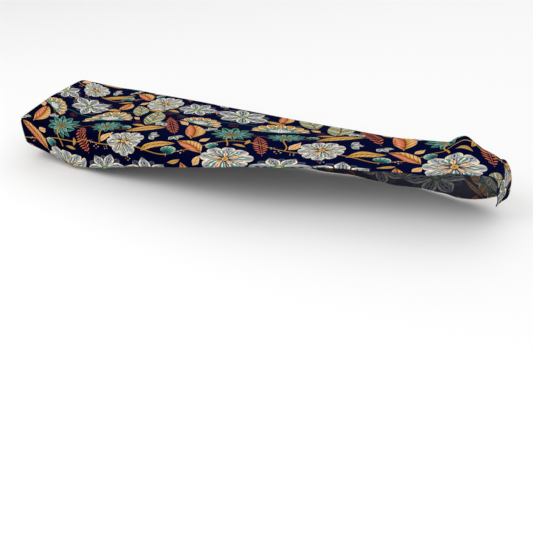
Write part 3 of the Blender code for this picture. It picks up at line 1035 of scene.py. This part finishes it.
def along_keyboard(grid):
    """Place along the keyboard, measured round the left corner."""
    x = grid[:, :, 0].copy()
    turned = np.linalg.norm(np.diff(grid, axis=0), axis=2)
    for i in reversed(range(CORNER_ROWS)):
        x[i] = x[i + 1] - turned[i]
    return x


def laid_flat(x, y):
    """The place on the flat print, in millimetres, for metres along the cloth and from the hem."""
    return np.stack([(x + LAID * ease(-0.50, -0.10, x) * y) * 1000 / STRETCH, y * 1000], axis=2)


def print_places(panels):
    """Each panel's place on the flat print with its distance from the hem, and its charts: places
    with the letters of the panels whose motifs they take.
    """
    front, back, top = panels["front"], panels["back"], panels["top"]
    left, right = panels["left"], panels["right"]
    from_hem, over_top = walked(front, 1, from_end=True), walked(top, 1) * TOP_SCALE
    crease = from_hem[:, :1]
    deep = {
        "front": from_hem,
        "top": crease + over_top,
        "back": crease + over_top[:, -1:] + walked(back, 1),
    }
    far = {"front": along_keyboard(front), "top": top[:, :, 0], "back": along_keyboard(back)}
    # The left end goes on from the top, and the right end from the front.
    deep["left"] = np.repeat(deep["top"][:1], left.shape[0], axis=0)
    far["left"] = left[:1, :, 0] - walked(left, 0)
    deep["right"] = deep["front"][-1][:, None] + right[:, :, 1] - right[:, :1, 1]
    far["right"] = far["front"][-1][:, None] + walked(right[:, :, (0, 2)], 1)
    hem = {
        "front": from_hem,
        "back": walked(back, 1, from_end=True),
        "top": np.full(top.shape[:2], 1.0),
        "left": walked(left, 0, from_end=True),
        "right": walked(right, 0, from_end=True),
    }
    places = {
        name: np.concatenate([laid_flat(far[name], deep[name]), hem[name][:, :, None]], axis=2)
        for name in far
    }

    # A motif that starts beside an upright corner goes on round it, so each panel there also
    # has the flat place that carries on from its neighbour's.
    homes = {"top": "FTKLR", "front": "FTKR", "back": "FTK", "left": "TL", "right": "FR"}
    charts = {name: [(places[name][:, :, :2], homes[name])] for name in places}
    for name, home, end, sign in (("front", "F", 0, -1), ("back", "K", -1, 1)):
        gone = walked(panels[name], 0)
        beyond = deep["left"][:, end] + sign * gone
        charts[name].append((laid_flat(far["left"][:, end] + 0 * gone, beyond), "L"))
        gone = walked(left, 1, from_end=name == "back")
        charts["left"].append((laid_flat(far[name][:1].T - gone, deep[name][:1].T + 0 * gone), home))
    gone = walked(back, 0, from_end=True)
    charts["back"].append((laid_flat(far["right"][:, -1] + 0 * gone, deep["right"][:, -1] + gone), "R"))
    gone = walked(right, 1, from_end=True)
    charts["right"].append((laid_flat(far["back"][-1:].T + gone, deep["back"][-1:].T + 0 * gone), "TK"))
    return places, charts


def laid_out(layer, places, panels):
    """Every motif on this cloth, with a letter for the panel that it starts on."""
    long, deep, moved = REPEAT
    flat = np.concatenate([place.reshape(-1, 3) for place in places.values()])
    low, high = flat.min(axis=0) - BEYOND, flat.max(axis=0) + BEYOND
    corner, last = places["left"][0, 0, 0], places["right"][0, 0]
    crease, edge = places["top"][:, 0], places["top"][:, -1]
    motifs = []
    for name, x, y, reach, turn, wide in layer:
        for row in range(math.floor(low[1] / deep) - 1, math.ceil(high[1] / deep) + 1):
            for step in range(math.floor(low[0] / long) - 3, math.ceil(high[0] / long) + 3):
                at = x + row * moved + step * long, y + row * deep
                if not (low[0] < at[0] < high[0] and low[1] < at[1] < high[1]):
                    continue
                home = "T"
                if at[1] < np.interp(at[0], crease[:, 0], crease[:, 1]):
                    home = "F"
                elif at[1] > np.interp(at[0], edge[:, 0], edge[:, 1]):
                    home = "K"
                if at[0] < corner:
                    if home != "T":
                        continue
                    home = "L"
                elif at[0] > last[0] + LAID * (at[1] - last[1]) / STRETCH:
                    home = "R"
                motifs.append((name, *at, reach, turn, wide, home))

    def stands(motif):
        """Where a motif's middle is on the cloth, or None."""
        panel = PANELS[motif[6]]
        gap = np.hypot(places[panel][:, :, 0] - motif[1], places[panel][:, :, 1] - motif[2])
        spot = np.unravel_index(gap.argmin(), gap.shape)
        return panels[panel][spot] if gap[spot] < OFF_CLOTH else None

    def apart(a, spot, b, other):
        """Whether two motifs leave each other room on the cloth."""
        room = a[3] * max(a[5], NARROWEST) + b[3] * max(b[5], NARROWEST)
        return other is None or np.linalg.norm(other - spot) * 1000 > CLOSEST * room

    # Where two would meet round a corner, the end panel's own one is left out.
    kept = [m for m in motifs if m[6] in "FTK"]
    spots = [(stands(m), m) for m in kept if m[1] < corner + BESIDE or m[1] > last[0] - BESIDE]
    for m in motifs:
        spot = stands(m) if m[6] in "LR" else None
        rivals = "FK" if m[6] == "L" else "TK"
        if spot is not None and all(n[6] not in rivals or apart(m, spot, n, other) for other, n in spots):
            kept.append(m)
    return kept


def nearest_motifs(charts, motifs, kinds, count):
    """Each face corner's place in its nearest motif, as motif lengths, and that motif's number."""
    best = np.full(count, FURTHEST)
    found = np.full((count, 4, 3), -1.0)
    for first, corners, homes in charts:
        middles = corners.mean(axis=1)
        for name, at_x, at_y, reach, turn, wide, home in motifs:
            if home not in homes:
                continue
            c, s = math.cos(turn), math.sin(turn)
            dx, dy = middles[:, 0] - at_x, middles[:, 1] - at_y
            near = np.nonzero(np.maximum(abs(dx), abs(dy)) < SHAPE_REACH * reach)[0]
            u = (dx[near] * c - dy[near] * s) / reach
            v = (dx[near] * s + dy[near] * c) / reach
            gap = (u / wide) ** 2 + v**2
            closer = gap < best[first + near]
            near = near[closer]
            best[first + near] = gap[closer]
            dx, dy = corners[near, :, 0] - at_x, corners[near, :, 1] - at_y
            u, v = (dx * c - dy * s) / reach, (dx * s + dy * c) / reach
            found[first + near] = np.stack([u, v, np.full(u.shape, kinds.index(name))], axis=2)
    return found


# The cloth's mesh


def numbered(panels):
    """The panels' points in one list, and each panel's grid of numbers in it."""
    points, ids = [], {}

    def new(grid):
        start = len(points)
        points.extend(grid.reshape(-1, 3))
        return np.arange(start, start + grid.shape[0] * grid.shape[1]).reshape(grid.shape[:2])

    ids["front"], ids["back"] = new(panels["front"]), new(panels["back"])
    ids["top"] = np.zeros(panels["top"].shape[:2], int)
    ids["top"][:, 1:-1] = new(panels["top"][:, 1:-1])
    ids["top"][:, 0], ids["top"][:, -1] = ids["front"][:, 0], ids["back"][:, 0]
    for name, end in (("left", 0), ("right", -1)):
        grid = np.zeros(panels[name].shape[:2], int)
        grid[0] = ids["top"][end]
        grid[1:, 0], grid[1:, -1] = ids["front"][end, 1:], ids["back"][end, 1:]
        grid[1:, 1:-1] = new(panels[name][1:, 1:-1])
        ids[name] = grid
    return np.array(points), ids


def corners_of(grid, turned):
    """The four corners of each face of a grid, turned over where its rows run the other way."""
    start, end = slice(None, -1), slice(1, None)
    loop = (start, start), (end, start), (end, end), (start, end)
    corners = [grid[s] for s in (loop[::-1] if turned else loop)]
    return np.stack(corners, axis=2).reshape(-1, 4, *grid.shape[2:])


def build_cloth():
    """The cloth as a thin shell with a turned hem, and its place on the print at every corner."""
    panels = cloth_panels()
    places, charts = print_places(panels)
    points, ids = numbered(panels)
    quads, flat, carried = [], [], []
    for name, turned in (("top", False), ("front", True), ("back", False), ("left", True), ("right", False)):
        first = sum(len(q) for q in quads)
        quads.append(corners_of(ids[name], turned))
        flat.append(corners_of(places[name], turned))
        carried += [(first, corners_of(chart, turned), homes) for chart, homes in charts[name]]
    quads, flat = np.concatenate(quads), np.concatenate(flat)

    normals = np.zeros_like(points)
    a, b, c, d = (points[quads[:, i]] for i in range(4))
    facing = np.cross(c - a, d - b)
    for i in range(4):
        np.add.at(normals, quads[:, i], facing)
    normals /= np.linalg.norm(normals, axis=1)[:, None]
    hem = np.full(len(points), 1.0)
    np.minimum.at(hem, quads.ravel(), flat[:, :, 2].ravel())
    # The turned hem is two layers thick, with a groove where it is stitched.
    lift = HEM_EXTRA * ease(HEM_DEPTH + HEM_SOFT, HEM_DEPTH - HEM_SOFT, hem)
    groove = GROOVE * np.exp(-(((hem - HEM_DEPTH) / GROOVE_WIDTH) ** 2))
    outer = points + normals * (OUTER + lift - groove)[:, None]
    inner = points + normals * (OUTER - THIN - HEM_INWARD * lift)[:, None]

    # A rounded edge closes the hem.
    sides = dict.fromkeys((q[i], q[(i + 1) % 4]) for q in quads for i in range(4))
    rim = np.array([(p, q) for p, q in sides if (q, p) not in sides])
    outward = np.zeros_like(points)
    for end in (0, 1):
        run = points[rim[:, 1]] - points[rim[:, 0]]
        np.add.at(outward, rim[:, end], np.cross(run, normals[rim[:, end]]))
    edge = np.unique(rim)
    outward = outward[edge] / np.linalg.norm(outward[edge], axis=1)[:, None]
    count = len(points)
    nose = {v: 2 * count + i for i, v in enumerate(edge)}
    vertices = np.concatenate([outer, inner, (outer[edge] + inner[edge]) / 2 + outward * THIN])
    faces = [tuple(q) for q in quads] + [tuple(q[::-1] + count) for q in quads]
    place_of = {v: p for q, f in zip(quads, flat) for v, p in zip(q, f) if v in nose}
    rim_flat = []
    for p, q in rim:
        faces += [(q, p, nose[p], nose[q]), (nose[q], nose[p], p + count, q + count)]
        rim_flat += [[place_of[q], place_of[p], place_of[p], place_of[q]]] * 2
    rim_flat = np.array(rim_flat)

    mesh = bpy.data.meshes.new("cover_cloth")
    mesh.from_pydata([tuple(v) for v in vertices], [], [tuple(int(v) for v in f) for f in faces])
    mesh.shade_smooth()

    def write(name, values):
        """One value for each face corner: of the outside, then the inside, then the rim."""
        made = mesh.attributes.new(name, "FLOAT_VECTOR", "CORNER")
        made.data.foreach_set("vector", np.ascontiguousarray(np.concatenate(values), np.float32).ravel())

    carried.append((len(quads), rim_flat[:, :, :2], "FTKL"))
    large, small = lay_print()
    for name, layer, kinds in (("large_motif", large, LARGE_KINDS), ("small_motif", small, SMALL_KINDS)):
        motifs = laid_out(layer, places, panels)
        motifs += END_MOTIFS if layer is large else ()
        near = nearest_motifs(carried, motifs, [k.__name__ for k in kinds], len(quads) + len(rim_flat))
        face, rest = near[: len(quads)], near[len(quads) :]
        write(name, [face, face[:, ::-1], rest])
    in_metre = (1000, 1000, 1)
    write("cloth_place", [flat / in_metre, flat[:, ::-1] / in_metre, rim_flat / in_metre])
    write("cloth_side", [np.zeros_like(flat), np.ones_like(flat), np.zeros_like(rim_flat)])
    return mesh


# Materials

STEMS = (
    # level, swing, phase, colour
    (0.072, 0.030, 0.6, GOLD),
    (0.168, 0.036, 2.9, OCHRE),
    (0.246, 0.026, 4.4, TEAL),
)
STEM_HALF = 0.0011
WALE, COURSE, STITCH = 0.0018, 0.0016, 0.0045  # spacing of the knit's rows and of the stitches
SEAM_HALF = 0.0009


def tune(node, **values):
    """Sets a node's inputs, with underscores in their names for spaces."""
    for name, value in values.items():
        node.inputs[name.replace("_", " ")].default_value = value


def new_material(name, **values):
    """A material and its shader, with these inputs."""
    made = bpy.data.materials.new(name)
    made.use_nodes = True
    shader = made.node_tree.nodes["Principled BSDF"]
    tune(shader, **values)
    return made, shader


def knit_material():
    """The printed knit: motifs over a dark ground, fine wales, a stitched hem, a dull reverse."""
    made, shader = new_material(
        "printed_knit", Roughness=0.82, Specular_IOR_Level=0.008, Sheen_Weight=0.002, Sheen_Roughness=0.45
    )
    tree = made.node_tree
    far, deep, hem = attribute(tree, "cloth_place")

    # Ground, a little bluer in places, with thin stems behind the motifs. Towards the right it is painted lighter and
    # bluer: painted light for the stronger light on the right end.
    ground = ramp(0.5 + 0.5 * sine(far * 5 + deep * 9), (0, NIGHT), (1, INK))
    # painted light: the ground is painted lighter and bluer towards the right end
    ground = over(maths("MULTIPLY_ADD", far, 0.8, 0.35, clamp=True), PAINTED_LIGHT_NAVY, ground)
    length, depth, moved = (side / 1000 for side in REPEAT)
    row = maths("FLOOR", deep / depth)
    x = (far - row * moved) * (math.tau / length)
    y = deep - row * depth
    for level, swing, phase, line in STEMS:
        path = level + swing * sine(x + phase) + 0.012 * sine(x * 2 + phase * 1.7)
        ground = over(within(STEM_HALF - size(y - path), 4000), line, ground)
    printed = drawn(tree, "small_motif", SMALL_KINDS, ground)
    printed = drawn(tree, "large_motif", LARGE_KINDS, printed)

    # The dye is a little uneven, and the print shows duller on the reverse.
    mottle = tree.nodes.new("ShaderNodeTexNoise")
    tune(mottle, Scale=60, Detail=3)
    worn = maths("MULTIPLY_ADD", Field(tree, mottle.outputs["Fac"]), 0.5, -0.17, clamp=True)
    printed = over(worn * 0.30, NIGHT, printed)
    printed = over(attribute(tree, "cloth_side")[0] * 0.62, REVERSE, printed)
    tree.links.new(printed.socket, shader.inputs["Base Color"])

    # Wales of the knit, with the hem's stitches.
    wale = sine(far * (math.tau * STRETCH / WALE)) * 0.5 + 0.5
    course = sine(deep * (math.tau / COURSE) + wale * 1.6) * 0.5 + 0.5
    stitch = within(sine(far * (math.tau * STRETCH / STITCH)), 3)
    seam = within(SEAM_HALF - size(hem - HEM_DEPTH), 1500) * stitch
    height = wale * 0.6 + course * 0.4 + seam * 3
    relief = tree.nodes.new("ShaderNodeBump")
    tune(relief, Strength=0.35, Distance=0.0004)
    tree.links.new(height.socket, relief.inputs["Height"])
    tree.links.new(relief.outputs[0], shader.inputs["Normal"])
    return made


# The scene

FLOOR_HALF = 40
FLOOR_GAP = 0.0006  # the floor is this far under the cloth's lowest point

scene = bpy.context.scene
scene.view_settings.view_transform = "Standard"

camera = bpy.data.objects.new("camera", bpy.data.cameras.new("camera"))
scene.collection.objects.link(camera)
camera.data.sensor_width = 36
camera.data.lens = 45.6
camera.data.clip_start, camera.data.clip_end = 0.05, 60
camera.location = (0.8813, -1.4090, 0.7562)
camera.rotation_euler = [math.radians(turn) for turn in (54.32, 2.26, 28.60)]
scene.camera = camera

cloth = bpy.data.objects.new("cover_cloth", build_cloth())
scene.collection.objects.link(cloth)
cloth.data.materials.append(knit_material())
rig.replaces(cloth, "cover")
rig.ride(cloth, "root")
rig.slot(cloth, "printed_knit")
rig.sheet(cloth, flat=(1.62, 0.58), held="stretched", area=0.78)

ground = bpy.data.meshes.new("floor")
corners = [(x * FLOOR_HALF, y * FLOOR_HALF, 0) for x, y in ((-1, -1), (1, -1), (1, 1), (-1, 1))]
ground.from_pydata(corners, [], [(0, 1, 2, 3)])
ground.materials.append(new_material("studio_floor", Base_Color=(0.86, 0.86, 0.86, 1), Roughness=0.7)[0])
floor = bpy.data.objects.new("floor", ground)
floor.location.z = min(v.co.z for v in cloth.data.vertices) - FLOOR_GAP
scene.collection.objects.link(floor)
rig.stage(floor)

world = bpy.data.worlds.new("studio")
world.use_nodes = True
tune(world.node_tree.nodes["Background"], Color=(1, 1, 1, 1), Strength=0.80)
scene.world = world

for name, place, width, power in (
    ("key", (-1.4, -1.8, 2.6), 2.2, 42),
    ("fill", (2.4, -1.6, 1.8), 2.4, 16),
    ("back", (0.6, 2.4, 2.4), 2.4, 16),
):
    lamp = bpy.data.objects.new(name, bpy.data.lights.new(name, "AREA"))
    lamp.data.shape, lamp.data.size, lamp.data.energy = "SQUARE", width, power
    lamp.location = place
    lamp.rotation_euler = (Vector((0, 0, 0)) - Vector(place)).to_track_quat("-Z", "Y").to_euler()
    scene.collection.objects.link(lamp)

with open("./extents.json", "w") as sizes:
    new_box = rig.bounds()
    json.dump({"cad": [list(p) for p in cad_box], "visual": [list(p) for p in new_box]}, sizes)
